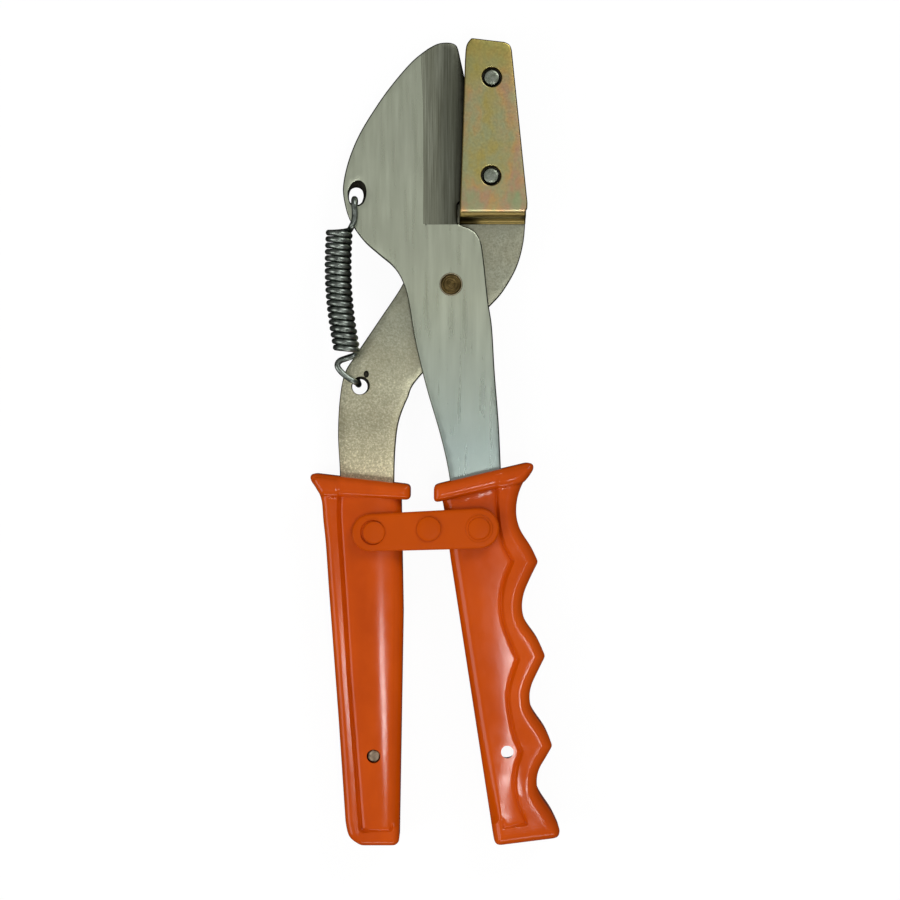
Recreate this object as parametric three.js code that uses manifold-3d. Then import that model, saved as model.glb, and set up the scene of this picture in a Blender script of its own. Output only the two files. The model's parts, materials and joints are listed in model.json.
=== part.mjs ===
// A hand cutter for PVC pipe, lying on its back: two steel levers on one pivot rivet.
// The front lever carries the blade and the finger-shaped grip. The rear lever carries the
// anvil, whose front cheek stands off it so that the blade closes into the slot between them.
// A tension spring opens the jaws and a plastic strap holds the grips together in storage.
// Millimetres. +Z points up out of the front face and +Y runs from the grips to the jaw tips.
// The tool is drawn round its pivot, then moved so that the origin is at the middle of its base.

import * as THREE from 'three';
import { mergeVertices } from 'three/addons/utils/BufferGeometryUtils.js';
import Module from 'manifold-3d';

// Heights of the layers above the surface that the tool lies on
const BACK_Z = 1.0;             // back of the grips, between their collars
const GRIP_PIN_Z = [2.2, 14.1]; // steel pin in the left grip
const ARM_Z = [4.1, 7.3];       // rear lever, 3.2 mm plate
const BLADE_Z = [7.7, 10.9];    // front lever, 3.2 mm plate
const STRIP_Z = [7.6, 11.0];    // spacer between the anvil's two cheeks
const CHEEK_Z = [11.3, 13.3];   // front cheek, 2 mm sheet
const BORDER_Z = 14.2;          // front of the grips, along their borders
const PANEL_Z = 15.0;           // front of the raised panel on each grip
const STRAP_Z = [15.3, 17.5];   // locking strap
const COLLAR_Z = [0, 16];       // collars, the thickest part of the grips
const CAVITY_GAP = 0.3;         // room round each tang inside its grip

// Pivot: a round-head rivet through the arm, and a bush pressed into the blade
const PIVOT = { shank: 2.3, bush: 3.2, bladeBore: 3.25, bushBore: 2.36, cap: 2.72, head: 5.2, washer: 6 };

// Anvil rivets, from the pivot
const CHEEK_RIVETS = { upper: [11.4, 57.7], lower: [11.2, 30.2] };
const CHEEK_RIVET = { shank: 2.05, bore: 2.35, cheekBore: 2.75, head: 3.6 };

// Holes in the levers and grips, from the pivot
const BLADE_SPRING_HOLE = [-26.3, 25.5, 2.75];
const ARM_SPRING_HOLE = [-25.8, -28.6, 2.2];
const GRIP_PIN = [-21.6, -131.9];
const GRIP_PIN_RADIUS = 1.6;
const GRIP_PIN_BORE = 1.9;
const HANG_HOLE = [15.7, -130.8, 1.75];

// Locking strap. Its free end hooks round the catch stud: a pocket in its back runs out of its
// upper edge along the path that the stud takes as the strap swings down.
const CATCH = [-21.4, -69.4];       // stud on the left grip
const CATCH_RADIUS = 2.9;
const CATCH_TOP_Z = 16.1;
const POCKET_GAP = 0.3;             // between the catch stud and the pocket's wall
const POCKET_ROOF_Z = 16.4;
const POCKET_SWEEP = 28;            // degrees of the strap's swing that the pocket is cut for
const BOSS_RADIUS = 3.1;            // round boss on the strap, in front of the catch stud
const BOSS_MOAT = { shift: 0.35, width: 0.35, floorZ: 17.1 };
const SWING = [7.8, -68.3];         // stud on the right grip that the strap turns on
const SWING_RADIUS = 3.0;
const SWING_HEAD_Z = [17.55, 18.1];
const THUMB = [-6.2, -68.4];        // button on the strap
const THUMB_RADIUS = 3.4;
const DISC_TOP_Z = 18.2;            // front of the boss and the button
const STRAP_END = [-22.4, -69.5];   // middle of the strap's rounded free end
const STRAP_RADII = [5.2, 5.6];     // free end, stud end
const STUD_SHANK = 1.9;             // studs below the grips' front faces
const STUD_FOOT_Z = 11.9;
const RIM = 0.25;                   // chamfer round the studs, the button and the boss
const FACE_GAP = 0.02;              // between a stud's body and the face that it stands on

// Return spring
const WIRE_RADIUS = 0.82;
const COIL_RADIUS = 2.97;           // to the middle of the wire
const COIL_TURNS = 19;
const COIL_Z = 10.6;                // middle of the coil
const COIL_TOP = [-31.3, 15.4];
const COIL_BOTTOM = [-29.2, -18.6];
const COIL_BOW = 0.7;               // how far the middle of the coil bows to the left

// Finger grooves of the right grip: the peaks between them, and their shape
const FINGER_PEAKS = [[23.2, -51.8], [24.4, -77.8], [26.4, -104.2], [28.4, -129.3], [30.5, -152.8]];
const GROOVE_DEPTH = 5.65;
const GROOVE_POWER = 1.8;
const GROOVE_STEPS = 8;

const STEEL = { color: 0x939889, roughness: 0.34, metalness: 1 };
const ZINC = { color: 0xb4ac88, roughness: 0.38, metalness: 1 };
const YELLOW_ZINC = { color: 0xa6904e, roughness: 0.32, metalness: 1 };
const RIVET_STEEL = { color: 0x8c9187, roughness: 0.4, metalness: 1 };
const BRONZE = { color: 0x6e5630, roughness: 0.45, metalness: 1 };
const BRASS = { color: 0x5a4828, roughness: 0.42, metalness: 1 };
const SPRING_STEEL = { color: 0x4a4a44, roughness: 0.36, metalness: 1 };
const ORANGE = { color: 0xb84a05, roughness: 0.3, metalness: 0 };
const STRAP_ORANGE = { color: 0xba4c0a, roughness: 0.36, metalness: 0 };

const wasm = await Module();
wasm.setup();

const tool = new THREE.Group();

function addPart(name, geometry, finish) {
  const mesh = new THREE.Mesh(geometry, new THREE.MeshStandardMaterial(finish));
  mesh.name = name;
  tool.add(mesh);
}

// ---- Joining and cutting ----

function solid(geometry) {
  const bare = geometry.clone();
  bare.deleteAttribute('normal');
  bare.deleteAttribute('uv');
  const merged = mergeVertices(bare, 1e-4);
  return new wasm.Manifold(new wasm.Mesh({
    numProp: 3,
    vertProperties: new Float32Array(merged.attributes.position.array),
    triVerts: new Uint32Array(merged.index.array),
  }));
}

function geometryOf(manifold) {
  const mesh = manifold.getMesh();
  const positions = new Float32Array(mesh.numVert * 3);
  for (let v = 0; v < mesh.numVert; v += 1) {
    for (let k = 0; k < 3; k += 1) {
      positions[v * 3 + k] = mesh.vertProperties[v * mesh.numProp + k];
    }
  }
  const geometry = new THREE.BufferGeometry();
  geometry.setAttribute('position', new THREE.BufferAttribute(positions, 3));
  geometry.setIndex(new THREE.BufferAttribute(new Uint32Array(mesh.triVerts), 1));
  geometry.computeVertexNormals();
  return geometry;
}

function cut(base, ...tools) {
  return tools.reduce((left, piece) => left.subtract(solid(piece)), solid(base));
}

// ---- Plates, turned pieces and wires ----

const ROUND_SIDES = 36;         // sides of the pins and holes that turn in each other

function vectors(points) {
  return points.map(([x, y]) => new THREE.Vector2(x, y));
}

function plate(shape, [low, high], curveSegments = 3) {
  const settings = { depth: high - low, bevelEnabled: false, curveSegments };
  return new THREE.ExtrudeGeometry(shape, settings).translate(0, 0, low);
}

function bore([x, y], radius, [low, high], sides = 28) {
  return new THREE.CylinderGeometry(radius, radius, high - low, sides)
    .rotateX(Math.PI / 2)
    .translate(x, y, (low + high) / 2);
}

// A turned piece standing at [x, y]. The profile is [radius, z] from the bottom of its axis to the top.
function turned(profile, [x, y], sides = 28) {
  const lathe = new THREE.LatheGeometry(vectors(profile), sides);
  return lathe.rotateX(Math.PI / 2).translate(x, y, 0);
}

// The dome of a round-head rivet: points from its crown, at z = low, out to its rim, at z = high
function dome(radius, low, high, steps = 5) {
  const points = [[0, low]];
  for (let i = 0; i <= steps; i += 1) {
    const angle = (i / steps) * Math.PI / 2;
    points.push([radius * (0.35 + 0.65 * Math.sin(angle)), high - (high - low) * Math.cos(angle)]);
  }
  return points;
}

// ---- Blade ----

function bladeOutline() {
  const shape = new THREE.Shape();
  shape.moveTo(9.2, -118);
  shape.lineTo(0.6, -62);
  shape.splineThru(vectors([
    [-0.8, -52], [-3.1, -42], [-7.0, -28.6], [-10.1, -15.7], [-12.0, -4.5], [-13.7, 1.1], [-16.2, 5.0],
    [-20.2, 8.4], [-24.6, 12.4], [-28.4, 18], [-30.1, 24.0], [-30.2, 28.6], [-28.6, 35.3], [-25.8, 42],
    [-21.8, 48.7], [-17.1, 55.4], [-11.2, 61.8], [-7.2, 65.4],
  ]));
  shape.splineThru(vectors([[-4.6, 66.5], [-1.5, 66.8], [1.0, 66.5], [2.2, 65.6], [3.3, 62.3]]));
  shape.splineThru(vectors([[4.5, 55], [4.9, 44], [4.8, 26]]));
  shape.quadraticCurveTo(4.6, 23.6, 1.9, 22.8);
  shape.lineTo(1.8, 17.4);
  shape.splineThru(vectors([
    [2.3, 16.8], [5.0, 15.8], [7.0, 14.4], [8.4, 11.8], [9.2, 6.7], [10.4, -4.5], [11.5, -12], [12.3, -25],
    [13.4, -39], [14.0, -52],
  ]));
  shape.lineTo(16.4, -118);
  shape.closePath();
  return shape;
}

// The two ground bevels that leave a thin edge at the middle of the plate
const BEVEL_START_X = -7.8;
const BEVEL_BREAK_X = -0.2;
const EDGE_X = 5.4;
const BEVEL_FOOT_Y = 16.8;
const BEVEL_BREAK_DEPTH = 0.72;
const EDGE_DEPTH = 1.5;

function bevelCutter(surface, outward) {
  const far = surface + outward * 1.5;
  const shape = new THREE.Shape(vectors([
    [BEVEL_START_X, surface],
    [BEVEL_BREAK_X, surface - outward * BEVEL_BREAK_DEPTH],
    [EDGE_X, surface - outward * EDGE_DEPTH],
    [EDGE_X, far],
    [BEVEL_START_X, far],
  ]));
  const prism = new THREE.ExtrudeGeometry(shape, { depth: 60, bevelEnabled: false });
  return prism.rotateX(Math.PI / 2).translate(0, BEVEL_FOOT_Y + 60, 0);
}

function blade() {
  const [hx, hy, hr] = BLADE_SPRING_HOLE;
  const through = [BLADE_Z[0] - 1, BLADE_Z[1] + 1];
  return geometryOf(cut(
    plate(bladeOutline(), BLADE_Z),
    bore([0, 0], PIVOT.bladeBore, through, ROUND_SIDES),
    bore([hx, hy], hr, through),
    bevelCutter(BLADE_Z[1], 1),
    bevelCutter(BLADE_Z[0], -1),
  ));
}

// ---- Anvil lever ----

function armOutline() {
  const shape = new THREE.Shape();
  shape.moveTo(-26.9, -138);
  shape.lineTo(-31.3, -60);
  shape.splineThru(vectors([
    [-31.4, -52], [-31.9, -42], [-31.4, -32], [-30.0, -24.8], [-27.0, -19.8], [-19.3, -8.4], [-14.8, -1.7],
    [-11.5, 4.0], [-7.0, 9.0], [-1.5, 13.0], [1.8, 15.5], [2.8, 18.5],
  ]));
  shape.lineTo(4.2, 62.7);
  shape.splineThru(vectors([[4.6, 66.8], [6.0, 68.3]]));
  shape.lineTo(14.8, 67.3);
  shape.splineThru(vectors([[16.2, 66.5], [16.8, 65.0]]));
  shape.lineTo(21.1, 22);
  shape.splineThru(vectors([[21.0, 18.5], [20.4, 11.8], [18.5, 5.0], [14.8, -1.5], [11.8, -5.0]]));
  shape.splineThru(vectors([[-8.4, -25.2], [-12.3, -31.9], [-14.8, -38.6], [-15.7, -45.4], [-16.0, -52]]));
  shape.lineTo(-17.0, -138);
  shape.closePath();
  return shape;
}

function anvilArm() {
  const through = [ARM_Z[0] - 1, ARM_Z[1] + 1];
  const [hx, hy, hr] = ARM_SPRING_HOLE;
  const rivets = Object.values(CHEEK_RIVETS).map((place) => bore(place, CHEEK_RIVET.bore, through));
  return geometryOf(cut(
    plate(armOutline(), ARM_Z),
    bore([0, 0], PIVOT.shank + CAVITY_GAP, through, ROUND_SIDES),
    bore([hx, hy], hr, through),
    bore(GRIP_PIN, GRIP_PIN_BORE, through),
    ...rivets,
  ));
}

// Front cheek seen from the front; its folded foot stands on the arm
function cheekOutline() {
  const shape = new THREE.Shape();
  shape.moveTo(2.35, 17.1);
  shape.lineTo(3.9, 62.7);
  shape.splineThru(vectors([[4.3, 66.6], [5.7, 68.7]]));
  shape.lineTo(15.0, 67.6);
  shape.splineThru(vectors([[16.4, 66.8], [17.0, 65.4]]));
  shape.lineTo(21.4, 22.7);
  shape.lineTo(21.2, 17.1);
  shape.closePath();
  return shape;
}

// The folded sheet seen from its edge, as [y, z]: flat face, bend, wall and toe
function cheekFold() {
  const [under, face] = CHEEK_Z;
  const shape = new THREE.Shape();
  shape.moveTo(70, face);
  shape.lineTo(70, under);
  shape.lineTo(20.9, under);
  shape.lineTo(20.6, under - 0.3);
  shape.lineTo(20.6, STRIP_Z[0]);
  shape.lineTo(17.2, STRIP_Z[0]);
  shape.lineTo(17.2, STRIP_Z[0] + 0.8);
  shape.quadraticCurveTo(18.5, STRIP_Z[0] + 0.9, 18.6, STRIP_Z[0] + 2);
  shape.lineTo(18.6, face - 2.3);
  shape.absarc(20.9, face - 2.3, 2.3, Math.PI, Math.PI / 2, true);
  return shape;
}

function anvilCheek() {
  const fold = new THREE.ExtrudeGeometry(cheekFold(), { depth: 24, bevelEnabled: false, curveSegments: 3 });
  const turn = new THREE.Matrix4().set(0, 0, 1, 0, 1, 0, 0, 0, 0, 1, 0, 0, 0, 0, 0, 1);
  fold.applyMatrix4(turn);
  let cheek = solid(fold).intersect(solid(plate(cheekOutline(), [STRIP_Z[0] - 1, CHEEK_Z[1] + 1])));
  for (const place of Object.values(CHEEK_RIVETS)) {
    cheek = cheek.subtract(solid(bore(place, CHEEK_RIVET.cheekBore, [CHEEK_Z[0] - 1, CHEEK_Z[1] + 1])));
  }
  return geometryOf(cheek);
}

function anvilStrip() {
  const corners = [[8.0, 22.5], [8.6, 65.5], [15.6, 65.5], [16.2, 63.5], [20.4, 22.5]];
  const through = [STRIP_Z[0] - 1, STRIP_Z[1] + 1];
  const rivets = Object.values(CHEEK_RIVETS).map((place) => bore(place, CHEEK_RIVET.bore, through));
  return geometryOf(cut(plate(new THREE.Shape(vectors(corners)), STRIP_Z), ...rivets));
}

function cheekRivet(place) {
  const [neckZ, tipZ] = [ARM_Z[0] - CAVITY_GAP, CHEEK_Z[1] - 0.4];
  const { shank, head } = CHEEK_RIVET;
  const tip = [[shank, neckZ], [shank, tipZ - 0.25], [shank - 0.25, tipZ], [0, tipZ]];
  return turned([...dome(head, 1.4, neckZ), ...tip], place);
}

// ---- Pivot ----

function pivotRivet() {
  const neckZ = ARM_Z[0] - 1.1;
  const capZ = BLADE_Z[1] - 0.5;
  const shank = [[PIVOT.shank, neckZ], [PIVOT.shank, capZ], [PIVOT.cap, capZ + 0.1]];
  const cap = [[PIVOT.cap, BLADE_Z[1] - 0.05], [0, BLADE_Z[1] - 0.05]];
  return turned([...dome(PIVOT.head, 0, neckZ), ...shank, ...cap], [0, 0], ROUND_SIDES);
}

function pivotWasher() {
  const inner = PIVOT.shank + 0.2;
  const [low, high] = [ARM_Z[0] - 1.05, ARM_Z[0] - 0.05];
  const section = [[inner, low], [PIVOT.washer, low], [PIVOT.washer, high], [inner, high], [inner, low]];
  return turned(section, [0, 0], ROUND_SIDES);
}

// The bush's bore widens at its front to take the rivet's spread end
function pivotBush() {
  const { bushBore, bush, cap } = PIVOT;
  const [low, high] = [BLADE_Z[0] + FACE_GAP, BLADE_Z[1]];
  const mouth = [[cap + 0.1, high], [cap + 0.1, high - 0.45], [bushBore, high - 0.65]];
  const section = [[bushBore, low], [bush, low], [bush, high], ...mouth, [bushBore, low]];
  return turned(section, [0, 0], ROUND_SIDES);
}

// ---- Grips ----

// A groove's points, from just below one peak to just above the next, at GROOVE_STEPS even steps
function groove([x0, y0], [x1, y1]) {
  const points = [];
  for (let i = 1; i < GROOVE_STEPS; i += 1) {
    const t = i / GROOVE_STEPS;
    const depth = GROOVE_DEPTH * (1 - Math.abs(2 * t - 1) ** GROOVE_POWER);
    points.push([x0 + (x1 - x0) * t - depth, y0 + (y1 - y0) * t]);
  }
  return points;
}

function fingerSide() {
  const points = [];
  for (let i = 0; i + 1 < FINGER_PEAKS.length; i += 1) {
    points.push(...groove(FINGER_PEAKS[i], FINGER_PEAKS[i + 1]), FINGER_PEAKS[i + 1]);
  }
  return points;
}

function rightBody() {
  const shape = new THREE.Shape();
  shape.moveTo(21.4, -51);
  shape.lineTo(-3.2, -57);
  shape.lineTo(-2.0, -62.7);
  shape.lineTo(0.0, -77.8);
  shape.lineTo(11.6, -153.0);
  shape.quadraticCurveTo(12.1, -157.0, 13.6, -157.1);
  shape.lineTo(28.8, -155.2);
  shape.quadraticCurveTo(30.6, -154.6, 30.5, -152.8);
  shape.splineThru(vectors(fingerSide().reverse().slice(1)));
  shape.closePath();
  return shape;
}

function rightCollar() {
  const shape = new THREE.Shape();
  shape.moveTo(21.3, -50.0);
  shape.lineTo(-3.8, -56.0);
  shape.quadraticCurveTo(-4.8, -56.3, -4.8, -57.4);
  shape.lineTo(-4.8, -60.2);
  shape.quadraticCurveTo(-4.8, -61.2, -3.6, -61.0);
  shape.lineTo(20.4, -55.5);
  shape.splineThru(vectors([[21.8, -53.8], [23.0, -51.8], [22.8, -50.4], [21.3, -50.0]]));
  return shape;
}

function leftBody() {
  const shape = new THREE.Shape();
  shape.moveTo(-14.0, -57);
  shape.lineTo(-36.5, -55);
  shape.splineThru(vectors([[-35.9, -61], [-35.6, -66], [-35.0, -72.8], [-34.2, -84.6]]));
  shape.lineTo(-31.4, -122);
  shape.lineTo(-29.5, -150.4);
  shape.quadraticCurveTo(-29.2, -156.6, -25.2, -157.0);
  shape.lineTo(-15.6, -157.0);
  shape.quadraticCurveTo(-14.6, -157.0, -14.5, -156.0);
  shape.lineTo(-14.2, -139);
  shape.lineTo(-13.4, -92);
  shape.closePath();
  return shape;
}

function leftCollar() {
  const shape = new THREE.Shape();
  shape.moveTo(-38.3, -53.0);
  shape.splineThru(vectors([[-39.3, -53.7], [-39.0, -55.2], [-37.9, -56.8], [-37.0, -58.4]]));
  shape.lineTo(-12.4, -60.4);
  shape.quadraticCurveTo(-11.4, -60.4, -11.4, -59.4);
  shape.lineTo(-11.4, -57.0);
  shape.quadraticCurveTo(-11.5, -56.1, -12.6, -56.0);
  shape.closePath();
  return shape;
}

// The raised panel on a grip's front, with a chamfered edge
function panelBlock(points) {
  const rise = PANEL_Z - BORDER_Z;
  const sunk = 0.2;
  const chamfer = { bevelThickness: rise, bevelSize: rise, bevelOffset: -rise, bevelSegments: 2 };
  const block = new THREE.ExtrudeGeometry(new THREE.Shape(vectors(points)), { depth: sunk, ...chamfer });
  return block.translate(0, 0, BORDER_Z - sunk);
}

// A tang's cavity: the tang's sides with room round them, open at the collar
function cavity(points, [low, high]) {
  return plate(new THREE.Shape(vectors(points)), [low - CAVITY_GAP, high + CAVITY_GAP]);
}

function grip(body, collar, panel, cuts) {
  const shell = solid(plate(body, [BACK_Z, BORDER_Z]))
    .add(solid(plate(collar, COLLAR_Z)))
    .add(solid(panelBlock(panel)));
  return geometryOf(cuts.reduce((left, piece) => left.subtract(solid(piece)), shell));
}

const RIGHT_PANEL = [
  [0.4, -62], [12.8, -59.0], [13.2, -66], [17.0, -77.3], [14.4, -88.5], [18.4, -104.6], [16.2, -115],
  [19.4, -131], [18.0, -140], [20.6, -150.6], [14.6, -152.2], [3.4, -81],
];
const LEFT_PANEL = [[-31.0, -62], [-16.0, -62.8], [-16.6, -152.8], [-25.4, -152.8], [-30.5, -77]];

function rightGrip() {
  const [hx, hy, hr] = HANG_HOLE;
  const tang = [
    [-1.1, -48], [-1.1, -54], [0.2, -62], [8.8, -118.4], [16.8, -118.4], [14.5, -58], [14.5, -48],
  ];
  return grip(rightBody(), rightCollar(), RIGHT_PANEL, [
    cavity(tang, BLADE_Z),
    bore([hx, hy], hr, [0, 20]),
    bore(SWING, STUD_SHANK + CAVITY_GAP, [STUD_FOOT_Z - CAVITY_GAP, 20]),
  ]);
}

function leftGrip() {
  const tang = [[-32.0, -50], [-31.8, -60], [-27.3, -138.4], [-16.6, -138.4], [-15.6, -60], [-15.5, -50]];
  return grip(leftBody(), leftCollar(), LEFT_PANEL, [
    cavity(tang, ARM_Z),
    bore(GRIP_PIN, GRIP_PIN_BORE, [0, 20]),
    bore(CATCH, STUD_SHANK + CAVITY_GAP, [STUD_FOOT_Z - CAVITY_GAP, 20]),
  ]);
}

function gripPin() {
  const [low, high] = GRIP_PIN_Z;
  const r = GRIP_PIN_RADIUS;
  const chamfer = 0.2;
  return turned([
    [0, low], [r - chamfer, low], [r, low + chamfer], [r, high - chamfer], [r - chamfer, high], [0, high],
  ], GRIP_PIN);
}

// ---- Locking strap ----

function strapOutline() {
  const [ex, ey] = STRAP_END;
  const [sx, sy] = SWING;
  const [endRadius, studRadius] = STRAP_RADII;
  const tilt = Math.atan2(sy - ey, sx - ex);
  const shape = new THREE.Shape();
  shape.absarc(ex, ey, endRadius, tilt + Math.PI / 2, tilt + Math.PI * 1.5, false);
  shape.absarc(sx, sy, studRadius, tilt - Math.PI / 2, tilt + Math.PI / 2, false);
  shape.closePath();
  return shape;
}

// The catch stud's path out of the pocket: a band round the stud that the strap turns on
function pocketPath([low, high]) {
  const [dx, dy] = [CATCH[0] - SWING[0], CATCH[1] - SWING[1]];
  const reach = Math.hypot(dx, dy);
  const closed = Math.atan2(dy, dx) + Math.PI * 2;
  const open = closed - POCKET_SWEEP * Math.PI / 180;
  const halfWidth = CATCH_RADIUS + POCKET_GAP;
  const band = new THREE.Shape();
  band.absarc(...SWING, reach + halfWidth, open, closed, false);
  band.absarc(...SWING, reach - halfWidth, closed, open, true);
  band.closePath();
  return plate(band, [low, high], 10);
}

function latchStrap() {
  const through = [STRAP_Z[0] - 1, STRAP_Z[1] + 1];
  const pocket = [STRAP_Z[0] - 1, POCKET_ROOF_Z];
  const { shift, width, floorZ } = BOSS_MOAT;
  const strap = cut(
    plate(strapOutline(), STRAP_Z, 16),
    pocketPath(pocket),
    bore(CATCH, CATCH_RADIUS + POCKET_GAP, pocket, ROUND_SIDES),
    bore([CATCH[0] - shift, CATCH[1]], BOSS_RADIUS + width, [floorZ, STRAP_Z[1] + 1], ROUND_SIDES),
    bore(SWING, SWING_RADIUS + 0.06, through, ROUND_SIDES),
    bore(THUMB, STUD_SHANK + CAVITY_GAP, through),
  );
  const boss = turned([
    [0, POCKET_ROOF_Z + 0.3], [BOSS_RADIUS, POCKET_ROOF_Z + 0.3], [BOSS_RADIUS, DISC_TOP_Z - RIM],
    [BOSS_RADIUS - RIM, DISC_TOP_Z], [0, DISC_TOP_Z],
  ], CATCH, ROUND_SIDES);
  return geometryOf(strap.add(solid(boss)));
}

// A stud: a shank in the grip, a body that stands on the grip's front, and a head from headZ to topZ
function stud(place, footZ, [bodyRadius, bodyZ], [headRadius, headZ, topZ]) {
  return turned([
    [0, footZ], [STUD_SHANK, footZ], [STUD_SHANK, bodyZ], [bodyRadius, bodyZ], [bodyRadius, headZ],
    [headRadius, headZ + 0.05], [headRadius, topZ - RIM], [headRadius - RIM, topZ], [0, topZ],
  ], place, ROUND_SIDES);
}

function catchStud() {
  const head = [CATCH_RADIUS, CATCH_TOP_Z - 2 * RIM, CATCH_TOP_Z];
  return stud(CATCH, STUD_FOOT_Z, [CATCH_RADIUS, PANEL_Z + FACE_GAP], head);
}

function swingStud() {
  const head = [SWING_RADIUS + 0.8, ...SWING_HEAD_Z];
  return stud(SWING, STUD_FOOT_Z, [SWING_RADIUS, PANEL_Z + FACE_GAP], head);
}

function thumbButton() {
  const head = [THUMB_RADIUS, DISC_TOP_Z - 2 * RIM, DISC_TOP_Z];
  return stud(THUMB, STRAP_Z[0], [THUMB_RADIUS, STRAP_Z[1] + 0.05], head);
}

// ---- Return spring ----

function coilPoint(t) {
  const x = COIL_TOP[0] + (COIL_BOTTOM[0] - COIL_TOP[0]) * t * t - COIL_BOW * Math.sin(Math.PI * t);
  const y = COIL_TOP[1] + (COIL_BOTTOM[1] - COIL_TOP[1]) * t;
  const angle = t * COIL_TURNS * 2 * Math.PI;
  return new THREE.Vector3(x + COIL_RADIUS * Math.cos(angle), y, COIL_Z - COIL_RADIUS * Math.sin(angle));
}

const COIL_STEPS_PER_TURN = 11;
const TOP_HOOK = [
  [-27.3, 22.0, 5.8], [-27.1, 23.5, 6.7], [-27.0, 23.9, 9.3], [-27.1, 23.8, 11.2], [-27.1, 22.5, 12.35],
  [-26.9, 20.0, 12.4], [-27.1, 17.6, 12.3], [-27.7, 16.3, 12.1],
];
const BOTTOM_HOOK = [
  [-26.9, -19.7, 8.9], [-29.3, -20.6, 8.4], [-31.3, -21.4, 8.6], [-32.0, -22.7, 8.8], [-31.1, -24.3, 8.8],
  [-29.2, -26.0, 8.6], [-27.4, -27.1, 8.3], [-26.5, -27.6, 7.0], [-26.3, -27.9, 5.2], [-26.2, -27.9, 3.6],
  [-26.4, -27.3, 2.4], [-27.0, -26.0, 2.2], [-27.6, -24.8, 2.2],
];

function returnSpring() {
  const steps = Math.round(COIL_TURNS * COIL_STEPS_PER_TURN);
  const points = TOP_HOOK.map((p) => new THREE.Vector3(...p));
  for (let i = 0; i <= steps; i += 1) {
    points.push(coilPoint(i / steps));
  }
  points.push(...BOTTOM_HOOK.map((p) => new THREE.Vector3(...p)));
  const path = new THREE.CatmullRomCurve3(points, false, 'centripetal');
  const section = new THREE.Shape();
  section.absarc(0, 0, WIRE_RADIUS, 0, Math.PI * 2, false);
  const settings = { steps: points.length + 20, extrudePath: path, curveSegments: 3, bevelEnabled: false };
  return new THREE.ExtrudeGeometry(section, settings);
}

// ---- The tool ----

addPart('anvil_arm', anvilArm(), ZINC);
addPart('anvil_cheek', anvilCheek(), YELLOW_ZINC);
addPart('anvil_strip', anvilStrip(), STEEL);
addPart('cheek_rivet_upper', cheekRivet(CHEEK_RIVETS.upper), RIVET_STEEL);
addPart('cheek_rivet_lower', cheekRivet(CHEEK_RIVETS.lower), RIVET_STEEL);
addPart('pivot_rivet', pivotRivet(), BRASS);
addPart('pivot_washer', pivotWasher(), RIVET_STEEL);
addPart('left_grip', leftGrip(), ORANGE);
addPart('left_grip_pin', gripPin(), RIVET_STEEL);
addPart('latch_catch_stud', catchStud(), ORANGE);
addPart('return_spring', returnSpring(), SPRING_STEEL);
addPart('blade', blade(), STEEL);
addPart('pivot_bush', pivotBush(), BRONZE);
addPart('right_grip', rightGrip(), ORANGE);
addPart('latch_pivot_stud', swingStud(), ORANGE);
addPart('latch_strap', latchStrap(), STRAP_ORANGE);
addPart('latch_thumb_button', thumbButton(), STRAP_ORANGE);

const box = new THREE.Box3().setFromObject(tool);
tool.position.set(-(box.min.x + box.max.x) / 2, -(box.min.y + box.max.y) / 2, -box.min.z);

const cutter = new THREE.Group();
cutter.add(tool);
cutter.updateMatrixWorld(true);

export default cutter;
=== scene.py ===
"""A hand cutter for PVC pipe: fine surfaces, materials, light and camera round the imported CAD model.

Shapes are in millimetres from the tool's pivot, with +Z out of its front face and +Y towards the jaw tips.
"""

import json
import math

import bpy
import numpy as np
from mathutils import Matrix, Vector
from mathutils.geometry import delaunay_2d_cdt
from mathutils.kdtree import KDTree

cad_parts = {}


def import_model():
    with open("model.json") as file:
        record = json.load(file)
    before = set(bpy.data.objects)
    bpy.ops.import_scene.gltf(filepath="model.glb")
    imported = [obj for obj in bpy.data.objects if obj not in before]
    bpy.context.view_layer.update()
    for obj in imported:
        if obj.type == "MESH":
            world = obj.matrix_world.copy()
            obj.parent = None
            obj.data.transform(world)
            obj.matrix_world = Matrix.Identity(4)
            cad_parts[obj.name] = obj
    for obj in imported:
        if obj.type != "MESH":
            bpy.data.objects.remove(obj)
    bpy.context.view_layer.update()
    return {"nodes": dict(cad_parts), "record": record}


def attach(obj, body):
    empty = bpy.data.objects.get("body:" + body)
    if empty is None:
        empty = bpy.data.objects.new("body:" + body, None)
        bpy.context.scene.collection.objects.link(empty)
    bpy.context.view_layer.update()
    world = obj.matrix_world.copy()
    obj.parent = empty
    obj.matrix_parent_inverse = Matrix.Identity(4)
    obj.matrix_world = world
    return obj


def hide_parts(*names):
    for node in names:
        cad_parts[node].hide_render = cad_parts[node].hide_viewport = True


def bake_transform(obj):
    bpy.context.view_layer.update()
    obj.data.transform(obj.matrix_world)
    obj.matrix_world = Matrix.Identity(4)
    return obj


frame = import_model()

JOINTS = {joint["name"]: joint for joint in frame["record"]["behaviour"]["joints"]}
PIVOT = np.array([*JOINTS["jaw_open"]["pos_m"][:2], 0.0])
MM = 0.001

ARM_Z = (4.1, 7.3)
BLADE_Z = (7.7, 10.9)
STRIP_Z = 7.6
CHEEK_Z = (11.3, 13.3)
BACK_Z = 1.0
FRONT_Z = 15.0
COLLAR_Z = (0.0, 16.0)
STRAP_Z = (15.3, 17.5)

UPPER_RIVET = (11.4, 57.7)
LOWER_RIVET = (11.2, 30.2)
ARM_SPRING_HOLE = (-25.8, -28.6)
GRIP_PIN = (-21.6, -131.9)
HANG_HOLE = (15.7, -130.8)
ARM_NICK = (-23.9, -25.1)
CATCH = (-21.4, -69.4)
SWING = (7.8, -68.3)
THUMB = (-6.2, -68.4)
STRAP_END = (-22.4, -69.5)

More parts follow.
